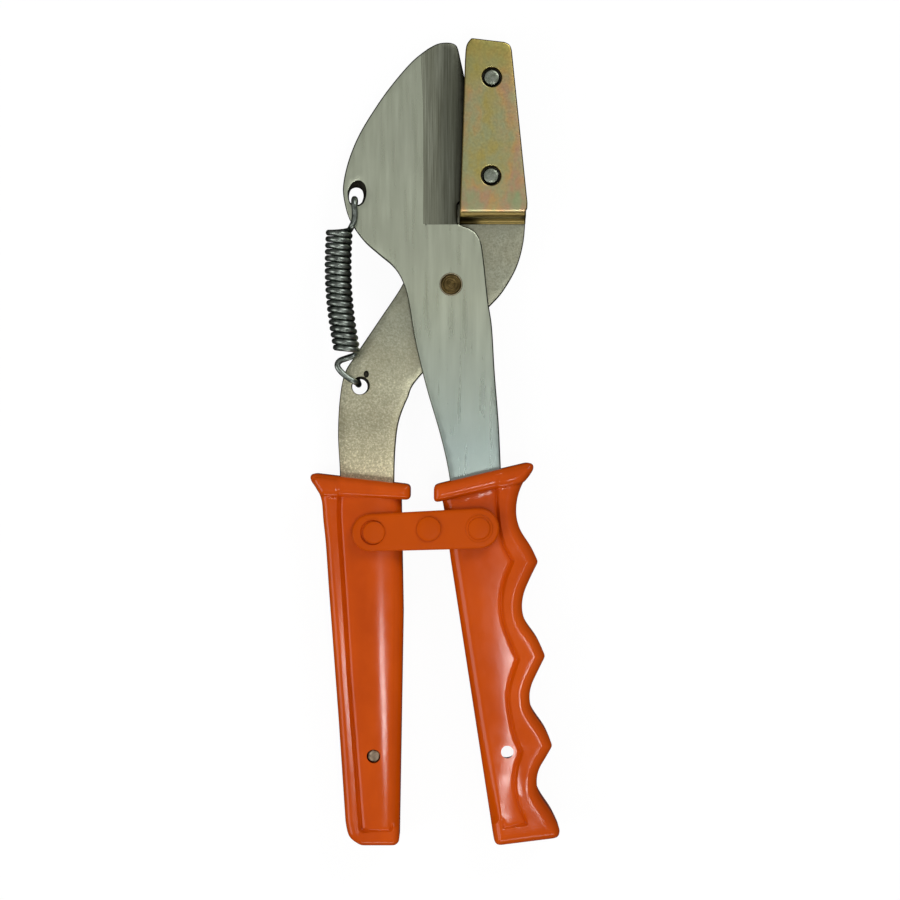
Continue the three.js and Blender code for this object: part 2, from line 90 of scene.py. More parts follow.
BLADE_PIVOT_HOLE = 3.25
ARM_PIVOT_HOLE = 2.6
ARM_SPRING_RADIUS = 2.2
ARM_RIVET_HOLE = 2.35
CHEEK_RIVET_HOLE = 2.75
PIN_HOLE = 1.9


# ---- Curves and distances ----


def spline(points, step):
    """Points about step apart on a smooth curve through the given ones, without the last."""
    given = [np.array(p, float) for p in points]
    given = [given[0], *given, given[-1]]
    out = []
    for a, b, c, d in zip(given, given[1:], given[2:], given[3:]):
        count = max(1, round(float(np.linalg.norm(c - b)) / step))
        for i in range(count):
            t = i / count
            cubic = (2 * a - 5 * b + 4 * c - d) * t**2 + (3 * b - a - 3 * c + d) * t**3
            out.append((2 * b + (c - a) * t + cubic) / 2)
    return out


def loop(start, *runs, step=0.4, soft=0.0):
    """A closed outline, anticlockwise. Each run is a smooth curve on from the last point.

    soft is the reach, in mm, of the smoothing that rounds its corners.
    """
    points, last = [], start
    for run in (*runs, [start]):
        if tuple(last) != tuple(run[-1]):
            points += spline([last, *run], step)
        last = run[-1]
    ring = evenly(np.array(points), step)
    if soft:
        ring = soften(ring, soft / step)
    return ring if signed_area(ring) > 0 else ring[::-1]


def signed_area(ring):
    x, y = ring.T
    return float(np.sum(x * np.roll(y, -1) - y * np.roll(x, -1))) / 2


def evenly(ring, step):
    closed = np.vstack([ring, ring[:1]])
    along = np.concatenate([[0], np.cumsum(np.linalg.norm(np.diff(closed, axis=0), axis=1))])
    where = np.linspace(0, along[-1], max(8, round(along[-1] / step)), endpoint=False)
    return np.column_stack([np.interp(where, along, closed[:, k]) for k in (0, 1)])


def soften(ring, reach):
    half = int(3 * reach) + 1
    weights = np.exp(-0.5 * (np.arange(-half, half + 1) / reach) ** 2)
    weights /= weights.sum()
    shifts = range(-half, half + 1)
    return sum(w * np.roll(ring, shift, axis=0) for w, shift in zip(weights, shifts))


def circle(centre, radius, step=0.3):
    angles = np.linspace(0, 2 * math.pi, max(24, round(2 * math.pi * radius / step)), endpoint=False)
    return np.column_stack([centre[0] + radius * np.cos(angles), centre[1] + radius * np.sin(angles)])


def inside(points, ring):
    hit = np.zeros(len(points), bool)
    x, y = points.T
    for (ax, ay), (bx, by) in zip(ring, np.roll(ring, -1, axis=0)):
        if ay != by:
            crosses = (ay > y) != (by > y)
            hit ^= crosses & (x < (bx - ax) * (y - ay) / (by - ay) + ax)
    return hit


def depth(points, ring):
    """How far each point is inside the ring; negative outside."""
    near = np.full(len(points), 1e9)
    for a, b in zip(ring, np.roll(ring, -1, axis=0)):
        edge = b - a
        t = np.clip((points - a) @ edge / max(edge @ edge, 1e-12), 0, 1)
        gap = points - a - t[:, None] * edge
        near = np.minimum(near, gap[:, 0] ** 2 + gap[:, 1] ** 2)
    return np.where(inside(points, ring), 1, -1) * np.sqrt(near)


def offset(ring, amount):
    """Points that lie amount inside the ring, or outside it where amount is negative."""
    along = np.roll(ring, -1, axis=0) - np.roll(ring, 1, axis=0)
    normal = np.column_stack([-along[:, 1], along[:, 0]]) / np.linalg.norm(along, axis=1)[:, None]
    moved = ring + normal * amount
    return moved[np.abs(depth(moved, ring) - amount) < 0.06 * abs(amount) + 0.02]


def smooth(value, start, end):
    t = np.clip((value - start) / (end - start), 0, 1)
    return t * t * (3 - 2 * t)


def rounded(into, radius):
    """How far a rounded edge has dropped below its face, at this distance in from the edge."""
    t = np.clip(1 - into / radius, 0, 1)
    return radius * (1 - np.sqrt(1 - t * t))


# ---- Mesh pieces ----


def finish_mesh(name, vertices, faces, sharp=38.0):
    mesh = bpy.data.meshes.new(name)
    mesh.from_pydata([tuple(v) for v in vertices], [], [tuple(int(i) for i in f) for f in faces])
    mesh.validate()
    mesh.polygons.foreach_set("use_smooth", [True] * len(mesh.polygons))
    mesh.set_sharp_from_angle(angle=math.radians(sharp))
    piece = bpy.data.objects.new(name, mesh)
    bpy.context.scene.collection.objects.link(piece)
    return piece


def in_metres(points):
    return np.asarray(points, float) * MM + PIVOT


def belongs(piece, body, material_slot, nodes, *materials):
    for material in materials:
        piece.data.materials.append(material)
    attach(piece, body)
    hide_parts(*nodes)
    return piece


def centres(piece):
    """Where each of a piece's faces lies, in mm from the pivot."""
    flat = np.empty(3 * len(piece.data.polygons))
    piece.data.polygons.foreach_get("center", flat)
    return ((flat.reshape(-1, 3) - PIVOT) / MM)[:, :2]


def grid(rings, spacing):
    both = np.vstack(rings)
    low, high = both.min(axis=0), both.max(axis=0)
    rows = np.arange(low[1], high[1], spacing * math.sqrt(3) / 2)
    points = [
        (x + (row % 2) * spacing / 2, y)
        for row, y in enumerate(rows)
        for x in np.arange(low[0], high[0], spacing)
    ]
    return np.array(points)


def thinned(points, keep_off, gap):
    tree = KDTree(len(keep_off))
    for i, (x, y) in enumerate(keep_off):
        tree.insert((x, y, 0), i)
    tree.balance()
    return np.array([p for p in points if tree.find((p[0], p[1], 0))[2] > gap])


def relief(name, outlines, front, back, holes=(), rims=(0.08, 0.25), spacing=1.2, rows=()):
    """A closed piece over the outlines' area, less the holes. front and back give its heights at points."""
    rings = [*outlines, *holes]
    points, edges = [], []
    for ring in rings:
        first, count = len(points), len(ring)
        points += list(ring)
        edges += [(first + i, first + (i + 1) % count) for i in range(count)]
    lines = [offset(ring, rim) for ring in outlines for rim in rims]
    lines += [offset(ring, -rim) for ring in holes for rim in rims if rim < 1]
    lines += [np.asarray(row) for row in rows]
    lines = [line for line in lines if len(line)]
    features = np.vstack([np.array(points), *lines])
    fill = thinned(grid(outlines, spacing), features, spacing * 0.6)
    loose = np.vstack([*lines, fill])
    loose = thinned(loose, np.array(points), 0.02)
    loose = loose[np.any([inside(loose, ring) for ring in outlines], axis=0)]
    sites = [Vector(p) for p in points] + [Vector(p) for p in loose]
    flat, _, triangles, *_ = delaunay_2d_cdt(sites, edges, [], 0, 1e-3)
    flat = np.array([tuple(p) for p in flat])
    triangles = np.array([t for t in triangles if len(t) == 3])
    middle = flat[triangles].mean(axis=1)
    keep = np.any([inside(middle, ring) for ring in outlines], axis=0)
    for ring in holes:
        keep &= ~inside(middle, ring)
    triangles = triangles[keep]
    used = np.unique(triangles)
    triangles = np.searchsorted(used, triangles)
    flat = flat[used]
    a, b, c = (flat[triangles[:, k]] for k in range(3))
    turn = (b[:, 0] - a[:, 0]) * (c[:, 1] - a[:, 1]) - (b[:, 1] - a[:, 1]) * (c[:, 0] - a[:, 0])
    triangles[turn < 0] = triangles[turn < 0][:, ::-1]
    count = len(flat)
    top = np.column_stack([flat, front(flat)])
    bottom = np.column_stack([flat, back(flat)])
    sides = {(int(t[k]), int(t[(k + 1) % 3])) for t in triangles for k in range(3)}
    walls = [(j, i, i + count, j + count) for i, j in sides if (j, i) not in sides]
    faces = [*triangles, *(triangles[:, ::-1] + count), *walls]
    return finish_mesh(name, in_metres(np.vstack([top, bottom])), faces)


def lathe(name, profile, centre, sides=64):
    """A turned piece from [radius, z] points that start and end on its axis, or close on themselves."""
    closed = profile[0] == profile[-1]
    profile = profile[:-1] if closed else profile
    vertices, rings = [], []
    for radius, z in profile:
        if radius < 1e-6:
            rings.append([len(vertices)] * sides)
            vertices.append((centre[0], centre[1], z))
            continue
        rings.append(list(range(len(vertices), len(vertices) + sides)))
        for i in range(sides):
            angle = 2 * math.pi * i / sides
            x, y = radius * math.cos(angle), radius * math.sin(angle)
            vertices.append((centre[0] + x, centre[1] + y, z))
    faces = []
    for k in range(len(rings) if closed else len(rings) - 1):
        low, high = rings[k], rings[(k + 1) % len(rings)]
        for i in range(sides):
            j = (i + 1) % sides
            corners = [low[i], low[j], high[j], high[i]]
            faces.append(tuple(dict.fromkeys(corners)))
    return finish_mesh(name, in_metres(vertices), faces)


# ---- Materials ----


def srgb(*colour):
    def linear(v):
        v /= 255
        return v / 12.92 if v <= 0.04045 else ((v + 0.055) / 1.055) ** 2.4

    return (*(linear(v) for v in colour), 1.0)


class Finish:
    """A procedural material under construction. Lengths in its textures are millimetres."""

    def __init__(self, name, metallic, **constants):
        self.material = bpy.data.materials.new(name)
        self.material.use_nodes = True
        self.tree = self.material.node_tree
        self.shader = self.tree.nodes["Principled BSDF"]
        self.shader.inputs["Metallic"].default_value = metallic
        for socket, value in constants.items():
            self.shader.inputs[socket.replace("_", " ")].default_value = value
        self.place = self.add("ShaderNodeTexCoord").outputs["Object"]

    def add(self, kind, properties=(), **inputs):
        """A new node. i0, i1 and so on are inputs by number, and other names are inputs by name."""
        node = self.tree.nodes.new(kind)
        for key, value in dict(properties).items():
            setattr(node, key, value)
        for key, value in inputs.items():
            socket = node.inputs[int(key[1:]) if key[0] == "i" and key[1:].isdigit() else key]
            self.feed(socket, value)
        return node

    def feed(self, socket, value):
        if isinstance(value, bpy.types.NodeSocket):
            self.tree.links.new(value, socket)
        else:
            socket.default_value = value

    def noise(self, size, stretch=(1, 1, 1), detail=3.0, rough=0.55, seed=(0, 0, 0)):
        """Noise from 0 to 1 whose features are about size mm, drawn out by stretch."""
        scale = [1000 / (size * s) for s in stretch]
        place = self.add("ShaderNodeMapping", i0=self.place, i1=seed, i3=scale).outputs[0]
        inputs = {"Vector": place, "Scale": 1.0, "Detail": detail, "Roughness": rough}
        return self.add("ShaderNodeTexNoise", **inputs).outputs[0]

    def ramp(self, value, *stops):
        node = self.add("ShaderNodeValToRGB", Fac=value)
        elements = node.color_ramp.elements
        while len(elements) < len(stops):
            elements.new(0.5)
        for element, (position, colour) in zip(elements, stops):
            element.position = position
            element.color = colour if isinstance(colour, tuple) else (colour, colour, colour, 1)
        return node.outputs[0]

    def mix(self, factor, a, b, blend="MIX"):
        return self.add("ShaderNodeMixRGB", {"blend_type": blend}, Fac=factor, Color1=a, Color2=b).outputs[0]

    def math(self, operation, a, b=0.5):
        return self.add("ShaderNodeMath", {"operation": operation}, i0=a, i1=b).outputs[0]

    def axis(self, index, low, high):
        """0 to 1 as one coordinate goes from low to high, in mm from the pivot."""
        split = self.add("ShaderNodeSeparateXYZ", Vector=self.place).outputs[index]
        ends = [end * MM + PIVOT[index] for end in (low, high)]
        return self.add("ShaderNodeMapRange", i0=split, i1=ends[0], i2=ends[1]).outputs[0]

    def radius_from(self, centre):
        """Distance in mm from an upright axis through centre."""
        flat = self.add("ShaderNodeVectorMath", {"operation": "MULTIPLY"}, i0=self.place, i1=(1000, 1000, 0))
        middle = (centre[0] + PIVOT[0] / MM, centre[1] + PIVOT[1] / MM, 0)
        gap = self.add("ShaderNodeVectorMath", {"operation": "DISTANCE"}, i0=flat.outputs[0], i1=middle)
        return gap.outputs["Value"]

    def shaded_edges(self, colour, edge):
        """A flat face's colour, turned to the edge colour where the surface leans: painted shade on plates'
        rounded and cut edges.

        The normal is the world's, so this holds while the tool lies flat.
        """
        normal = self.add("ShaderNodeNewGeometry").outputs["Normal"]
        upright = self.math("ABSOLUTE", self.add("ShaderNodeSeparateXYZ", Vector=normal).outputs[2])
        return self.mix(self.ramp(upright, (0.9, 1.0), (0.985, 0.0)), colour, edge)

    def done(self, colour, roughness, height=None, relief=0.02):
        self.feed(self.shader.inputs["Base Color"], colour)
        self.feed(self.shader.inputs["Roughness"], roughness)
        if height is not None:
            bump = self.add("ShaderNodeBump", Height=height, Distance=relief * MM, Strength=1.0)
            self.tree.links.new(bump.outputs[0], self.shader.inputs["Normal"])
        return self.material


# Painted shade for the steel plates' rounded and cut edges.
EDGE_SHADE_STEEL = srgb(58, 60, 50)


def blade_flat():
    f = Finish("blade_flat", 1.0)
    streaks = f.noise(1.6, (1, 14, 1), 4)
    clouds = f.noise(14, (1, 1.6, 1), 3, seed=(3, 1, 0))
    steel = f.ramp(streaks, (0.25, srgb(205, 212, 186)), (0.75, srgb(224, 231, 206)))
    steel = f.mix(f.ramp(clouds, (0.35, 0.0), (0.7, 0.35)), steel, srgb(192, 196, 176))
    # Bluer towards the tang's lower end, its own tone, and darker there as painted shade that tempers the
    # flash lamp's reflection. Leaning edges get painted shade.
    bluish_and_shaded = f.mix(f.noise(5, (1, 2, 1), 3), srgb(164, 180, 172), srgb(180, 194, 188))
    colour = f.shaded_edges(f.mix(f.axis(1, -4, -46), steel, bluish_and_shaded), EDGE_SHADE_STEEL)
    rough = f.ramp(streaks, (0.2, 0.24), (0.8, 0.34))
    return f.done(colour, rough, f.noise(0.35, (1, 8, 1), 4), 0.006)


def blade_bevel():
    f = Finish("blade_bevel", 1.0)
    fine = f.noise(0.28, (1, 60, 1), 3, 0.6)
    broad = f.noise(2.2, (1, 12, 1), 3, seed=(5, 0, 2))
    steel = f.ramp(fine, (0.3, srgb(128, 130, 112)), (0.7, srgb(172, 176, 158)))
    steel = f.mix(f.ramp(broad, (0.3, 0.0), (0.7, 0.6)), steel, srgb(120, 122, 102))
    # Darker towards the cutting edge: painted shade, deepest where the cheek's shadow falls. Leaning edges
    # get painted shade as well.
    painted_shading = f.ramp(f.axis(0, -8, 4.5), (0.0, 0.9), (0.3, 0.78), (0.5, 0.5), (1.0, 0.36))
    colour = f.shaded_edges(f.mix(1.0, steel, painted_shading, "MULTIPLY"), EDGE_SHADE_STEEL)
    return f.done(colour, f.ramp(fine, (0.2, 0.34), (0.8, 0.5)), fine, 0.012)


def zinc():
    f = Finish("zinc", 1.0)
    speck = f.noise(0.5, (1, 1, 1), 2, 0.7)
    patch = f.noise(7, (1, 1.4, 1), 4, seed=(1, 4, 0))
    stops = [(0.3, srgb(176, 168, 134)), (0.52, srgb(206, 198, 164)), (0.72, srgb(255, 248, 214))]
    plate = f.ramp(speck, *stops)
    grey = f.ramp(speck, (0.3, srgb(172, 174, 150)), (0.7, srgb(206, 208, 184)))
    colour = f.mix(f.axis(1, -52, -8), plate, grey)
    # Lighter and darker bands along the arm: painted light and shade standing in for the plate's
    # reflections.
    stops = [(0.0, 1.1), (0.14, 1.0), (0.3, 0.76), (0.48, 0.98), (0.75, 0.8), (1.0, 0.84)]
    painted_shading = f.ramp(f.axis(1, -58, 4), *stops)
    colour = f.mix(1.0, colour, painted_shading, "MULTIPLY")
    colour = f.mix(f.ramp(patch, (0.4, 0.0), (0.75, 0.35)), colour, srgb(160, 152, 120))
    # Painted shade on the arm's rounded and cut edges and hole rims.
    colour = f.shaded_edges(colour, srgb(62, 56, 38))
    return f.done(colour, f.ramp(speck, (0.3, 0.32), (0.7, 0.48)), speck, 0.02)


def yellow_zinc():
    f = Finish("yellow_zinc", 1.0)
    patch = f.noise(9, (1, 1.8, 1), 3, 0.6, seed=(2, 7, 1))
    other = f.noise(5, (1, 1.3, 1), 4, 0.6, seed=(8, 2, 3))
    grain = f.noise(0.7, (1, 1, 1), 3, 0.6)
    stops = [
        (0.3, srgb(206, 190, 112)), (0.43, srgb(202, 192, 134)), (0.52, srgb(226, 186, 124)),
        (0.6, srgb(218, 176, 138)), (0.72, srgb(178, 194, 142)),
    ]
    colour = f.ramp(patch, *stops)
    colour = f.mix(f.ramp(other, (0.45, 0.0), (0.65, 0.7)), colour, srgb(188, 196, 150))
    olive = f.axis(1, 54, 66)
    colour = f.mix(f.math("MULTIPLY", olive, 0.7), colour, srgb(196, 186, 96))
    colour = f.mix(0.35, colour, f.ramp(grain, (0.25, 0.7), (0.8, 1.1)), "MULTIPLY")
    # Painted shade where the cheek's surface leans: its rounded edges, hole rims and the bend down to its
    # foot.
    colour = f.shaded_edges(colour, srgb(128, 112, 66))
    return f.done(colour, f.ramp(grain, (0.2, 0.28), (0.8, 0.42)), grain, 0.012)


def blotched_steel(name, dark, middle, light):
    f = Finish(name, 1.0)
    blotch = f.noise(1.3, (1, 1, 1), 4, 0.65)
    colour = f.ramp(blotch, (0.3, srgb(*dark)), (0.5, srgb(*middle)), (0.7, srgb(*light)))
    return f.done(colour, f.ramp(blotch, (0.3, 0.5), (0.7, 0.3)), blotch, 0.09)


def pivot_brass():
    f = Finish("pivot_brass", 1.0)
    blotch = f.noise(1.0, (1, 1, 1), 3)
    radius = f.radius_from((0, 0))
    rings = f.math("SINE", f.math("MULTIPLY", radius, 11.0))
    outer = f.ramp(f.math("DIVIDE", radius, 3.4), (0.79, 0.0), (0.83, 1.0))
    colour = f.ramp(blotch, (0.3, srgb(84, 70, 38)), (0.7, srgb(112, 95, 60)))
    colour = f.mix(outer, colour, srgb(190, 178, 146))
    return f.done(colour, f.ramp(blotch, (0.2, 0.3), (0.8, 0.5)), rings, 0.03)


def spring_steel():
    f = Finish("spring_steel", 1.0)
    streak = f.noise(1.2, (1, 1, 1), 3)
    colour = f.ramp(streak, (0.3, srgb(92, 98, 92)), (0.7, srgb(150, 158, 150)))
    return f.done(colour, f.ramp(streak, (0.2, 0.24), (0.8, 0.4)), f.noise(0.4), 0.01)


def orange(name, light, dark, roughness, gloss):
    f = Finish(name, 0.0, IOR=1.45, Specular_IOR_Level=gloss)
    cloud = f.noise(16, (1, 2, 1), 3, 0.5, seed=(4, 4, 1))
    mottle = f.noise(2.4, (1, 1.5, 1), 4, 0.6)
    colour = f.ramp(cloud, (0.3, srgb(*dark)), (0.7, srgb(*light)))
    colour = f.mix(f.ramp(mottle, (0.45, 0.0), (0.8, 0.25)), colour, srgb(*light))
    scuffs = f.ramp(f.noise(0.9, (1, 9, 1), 5, 0.7, seed=(9, 1, 5)), (0.62, 0.0), (0.78, 1.0))
    low, high = roughness
    rough = f.ramp(mottle, (0.25, low), (0.75, high))
    rough = f.mix(f.math("MULTIPLY", scuffs, 0.5), rough, (0.55, 0.55, 0.55, 1))
    skin = f.mix(0.25, f.noise(0.6, (1, 1, 1), 3), f.noise(7, (1, 2.5, 1), 2, seed=(1, 2, 9)))
    return f.done(colour, rough, skin, 0.01)


# Painted shade: dark steel for hollows, hole walls and hidden parts that lie in shadow, mottled at random.
def painted_shade_steel():
    f = Finish("painted_shade_steel", 1.0)
    shade_mottle = f.noise(1.5, (1, 1, 1), 3)
    colour = f.ramp(shade_mottle, (0.3, srgb(52, 50, 44)), (0.7, srgb(84, 82, 72)))
    return f.done(colour, f.ramp(shade_mottle, (0.2, 0.45), (0.8, 0.6)), shade_mottle, 0.02)


STEEL = blade_flat()
SHADED = painted_shade_steel()
BEVEL = blade_bevel()
ZINC = zinc()
YELLOW = yellow_zinc()
RIVET = blotched_steel("rivet_steel", (108, 112, 98), (144, 152, 136), (176, 180, 168))
PIN = blotched_steel("pin_steel", (92, 80, 66), (128, 112, 94), (166, 150, 130))
BRASS = pivot_brass()
WIRE = spring_steel()
GRIP = orange("grip_orange", (217, 86, 4), (194, 71, 2), (0.09, 0.2), 0.28)
STRAP = orange("strap_orange", (206, 82, 3), (192, 74, 2), (0.32, 0.44), 0.08)


# ---- Blade ----

BLADE = loop(
    (9.2, -118), [(0.6, -62)],
    [(-0.8, -52), (-3.1, -42), (-7.0, -28.6), (-10.1, -15.7), (-12.0, -4.5), (-13.7, 1.1), (-16.2, 5.0),
     (-20.2, 8.4), (-24.6, 12.4), (-28.4, 18), (-30.1, 24.0), (-30.2, 28.6), (-28.6, 35.3), (-25.8, 42),
     (-21.8, 48.7), (-17.1, 55.4), (-11.2, 62.3), (-6.6, 66.1)],
    [(-3.8, 67.6), (-1.0, 68.0), (1.0, 67.6), (1.9, 66.5), (2.7, 63.2)],
    [(4.3, 55), (4.9, 44), (4.8, 26)], [(4.0, 24.0), (1.9, 22.8)], [(1.8, 17.4)],
    [(2.3, 16.8), (5.0, 15.8), (7.0, 14.4), (8.4, 11.8), (9.2, 6.7), (10.4, -4.5), (11.5, -12), (12.3, -25),
     (13.4, -39), (14.0, -52)],
    [(16.4, -118)], soft=0.3,
)
BEVEL_FOOT = 16.8
FACET_X = -0.2
EDGE_X = 5.4
FIRST_DROP = 0.72
SECOND_DROP = 0.78


def bevel_start(y):
    return -7.8 - 0.6 * smooth(y, 48, 63)


def bevel_depth(points):
    x, y = points.T
    first = np.clip((x - bevel_start(y)) / (FACET_X - bevel_start(y)), 0, 1) * FIRST_DROP
    second = np.clip((x - FACET_X) / (EDGE_X - FACET_X), 0, 1) * SECOND_DROP
    return (first + second) * (y > BEVEL_FOOT)


SLOT = loop(
    (-28.75, 24.3), [(-28.2, 22.9), (-26.7, 22.2), (-25.2, 22.9), (-24.6, 24.4)], [(-24.6, 25.4)],
    [(-25.2, 26.9), (-26.7, 27.5), (-28.2, 26.9), (-28.75, 25.4)], step=0.25, soft=0.2,
)
SLOT_MOUTH = loop(
    (-28.8, 24.4), [(-28.2, 22.7), (-26.6, 22.0), (-24.8, 22.8), (-24.0, 24.8)], [(-23.9, 26.2)],
    [(-24.4, 28.0), (-26.0, 29.0), (-27.7, 28.1), (-28.8, 26.0)], step=0.25, soft=0.2,
)


def blade():
    """The spring hole is worn: its front mouth runs up and to the right of the hole itself. The mouth is
    painted in SHADED steel, painted shade on the hole's wall.
    """
    edge = 0.45
    bore = circle((0, 0), BLADE_PIVOT_HOLE)

    def face(points, wear):
        drop = bevel_depth(points) + rounded(depth(points, BLADE), edge)
        mouth = depth(points, SLOT_MOUTH)
        slope = smooth(mouth, -0.25, 0.1) * 0.25 + np.clip(mouth, 0, 1.7) * 1.45
        return drop + wear * slope

    along = np.arange(BEVEL_FOOT + 0.02, 66.5, 0.7)
    across = np.arange(-8.5, 2.2, 0.5)
    rows = [np.column_stack([bevel_start(along) + gap, along]) for gap in (-0.06, 0.0, 0.06)]
    rows += [np.column_stack([np.full(len(along), FACET_X + gap), along]) for gap in (-0.06, 0.06)]
    rows += [np.column_stack([across, np.full(len(across), BEVEL_FOOT + gap)]) for gap in (-0.03, 0.03)]
    rows += [offset(SLOT_MOUTH, gap) for gap in (-0.3, -0.15, 0.02, 0.1, 0.4, 0.8, 1.2)]
    piece = relief(
        "blade_fine", [BLADE],
        lambda p: BLADE_Z[1] - face(p, 1.0), lambda p: BLADE_Z[0] + face(p, 0.0),
        [bore, SLOT], (0.03, 0.1, 0.22, 0.44), 1.5, rows,
    )
    belongs(piece, "blade_lever", "blade_steel", ["blade"], STEEL, BEVEL, SHADED)
    middles = centres(piece)
    x, y = middles.T
    ground = (y > BEVEL_FOOT) & (x > bevel_start(y))
    # Faces in the spring hole's sloped mouth get SHADED: painted shade on the hole's wall.
    shaded_mouth = inside(middles, SLOT_MOUTH)
    piece.data.polygons.foreach_set("material_index", np.where(shaded_mouth, 2, ground.astype(int)))
    return piece


# ---- Anvil lever ----

ARM = loop(
    (-26.9, -138), [(-31.3, -60)],
    [(-31.4, -52), (-31.9, -42), (-31.4, -32), (-30.0, -24.8), (-27.0, -19.8), (-19.3, -8.4), (-14.8, -1.7),
     (-11.5, 4.0), (-7.0, 9.0), (-2.6, 13.0), (-0.4, 15.5), (0.4, 18.5)],
    [(1.2, 26.0), (2.8, 29.0), (4.2, 62.7)], [(4.6, 66.8), (6.0, 68.3)], [(14.8, 67.3)],
    [(16.2, 66.5), (16.8, 65.0)], [(21.1, 22)],
    [(21.0, 18.5), (20.4, 11.8), (18.5, 5.0), (14.8, -1.5), (11.8, -5.0)],
    [(-8.4, -25.2), (-12.3, -31.9), (-14.8, -38.6), (-15.7, -45.4), (-16.0, -52)],
    [(-17.0, -138)], soft=0.4,
)
WORN_CENTRE = (ARM_SPRING_HOLE[0] + 0.35, ARM_SPRING_HOLE[1] + 0.3)
WORN_RADIUS = 2.45
NICK_SIZE = (0.75, 1.0)


def anvil_arm():
    holes = [circle((0, 0), ARM_PIVOT_HOLE), circle(ARM_SPRING_HOLE, ARM_SPRING_RADIUS)]
    holes.append(circle(GRIP_PIN, PIN_HOLE))
    holes += [circle(place, ARM_RIVET_HOLE) for place in (UPPER_RIVET, LOWER_RIVET)]

    def edge(points):
        drop = rounded(depth(points, ARM), 0.35)
        for ring in holes:
            drop += rounded(-depth(points, ring), 0.2)
        return drop

    def nick(points):
        """A small punch mark beside the spring hole."""
        away = np.hypot(*((points - ARM_NICK) / NICK_SIZE).T)
        return 0.9 * smooth(away, 1.0, 0.6)

    def wear(points):
        """The spring hole's front mouth runs up and to the right of the hole."""
        into = WORN_RADIUS - np.hypot(*(points - WORN_CENTRE).T)
        return 0.2 * smooth(into, -0.1, 0.05) + 1.4 * np.clip(into, 0, 1)

    rows = [np.array(ARM_NICK) + circle((0, 0), r, 0.15) * NICK_SIZE for r in (0.3, 0.55, 0.7, 0.85, 1.0)]
    rows += [circle(WORN_CENTRE, WORN_RADIUS + gap) for gap in (-0.35, -0.15, 0.0, 0.1)]
    piece = relief(
        "anvil_arm_fine", [ARM],
        lambda p: ARM_Z[1] - edge(p) - nick(p) - wear(p), lambda p: ARM_Z[0] + edge(p),
        holes, (0.04, 0.14, 0.35), 2.0, rows,
    )
    belongs(piece, "anvil_lever", "zinc_plate", ["anvil_arm"], ZINC, SHADED)
    middles = centres(piece)
    # The punch mark and the spring hole's sloped mouth are painted in SHADED: painted shade in the hollows.
    dark = np.hypot(*((middles - ARM_NICK) / NICK_SIZE).T) < 0.95
    dark |= np.hypot(*(middles - WORN_CENTRE).T) < WORN_RADIUS
    piece.data.polygons.foreach_set("material_index", dark.astype(int))
    return piece


CHEEK_FOOT = 17.1
CHEEK = loop(
    (2.35, CHEEK_FOOT), [(3.9, 62.7)], [(4.3, 66.6), (5.7, 68.7)], [(15.0, 67.6)],
    [(16.4, 66.8), (17.0, 65.4)], [(21.4, 22.7)], [(21.35, 20.9)], [(21.0, 20.6)], [(21.0, CHEEK_FOOT)],
    step=0.3, soft=0.22,
)
BEND_RADIUS = 2.3
WALL_Y = 18.6
BEND_Y = WALL_Y + BEND_RADIUS
TOE_Z = 8.4


def anvil_cheek():
    holes = [circle(place, CHEEK_RIVET_HOLE) for place in (UPPER_RIVET, LOWER_RIVET)]

    def front(points):
        y = points[:, 1]
        bend = CHEEK_Z[1] - rounded(y - WALL_Y, BEND_RADIUS)
        toe = TOE_Z + 1.2 * np.clip((y - CHEEK_FOOT) / (WALL_Y - CHEEK_FOOT), 0, 1) ** 2.5
        height = np.where(y > WALL_Y, bend, toe) - rounded(depth(points, CHEEK), 0.5)
        for ring in holes:
            height -= rounded(-depth(points, ring), 0.3)
        return height

    def back(points):
        folded = points[:, 1] < BEND_Y - 0.3
        return np.where(folded, STRIP_Z, CHEEK_Z[0]) + 0.5 * rounded(depth(points, CHEEK), 0.3)

    across = np.arange(2.6, 21.2, 0.5)
    levels = [17.4, 17.8, 18.2, 18.5, WALL_Y - 0.02, WALL_Y + 0.02, 18.7, 18.85]
    levels += [19.1, 19.5, 20.0, 20.58, 20.62, 20.9]
    rows = [np.column_stack([across, np.full(len(across), y)]) for y in levels]
    piece = relief("anvil_cheek_fine", [CHEEK], front, back, holes, (0.05, 0.15, 0.3, 0.5), 1.4, rows)
    return belongs(piece, "anvil_lever", "yellow_zinc", ["anvil_cheek"], YELLOW)


def dome(radius, low, high, steps=9):
    """The profile of a rivet's domed rear head, from its axis out to its rim at high."""
    angles = [i / steps * math.pi / 2 for i in range(steps + 1)]
    rim = [(radius * (0.35 + 0.65 * math.sin(a)), high - (high - low) * math.cos(a)) for a in angles]
    return [(0, low), *rim]


def cheek_rivet(which, place):
    tip = CHEEK_Z[1] - 0.4
    neck = ARM_Z[0] - 0.3
    crown = [
        (2.05, neck), (2.05, tip - 0.35), (1.98, tip - 0.12), (1.8, tip - 0.02),
        (1.2, tip), (0.6, tip), (0, tip),
    ]
    piece = lathe(f"cheek_rivet_{which}_fine", dome(3.6, 1.4, neck) + crown, place)
    return belongs(piece, "anvil_lever", "rivet_steel", [f"cheek_rivet_{which}"], RIVET)


def pivot_rivet():
    neck = ARM_Z[0] - 1.1
    top = BLADE_Z[1] - 0.02
    face = [
        (2.3, neck), (2.3, 10.35), (2.7, 10.5), (2.72, top - 0.18), (2.55, top - 0.03), (2.2, top),
        (2.1, top - 0.14), (1.95, top - 0.14), (1.85, top - 0.01), (1.3, top),
        (1.2, top - 0.1), (1.05, top - 0.1), (0.95, top), (0, top),
    ]
    piece = lathe("pivot_rivet_fine", dome(5.2, 0, neck) + face, (0, 0), 96)
    return belongs(piece, "anvil_lever", "pivot_brass", ["pivot_rivet"], BRASS)


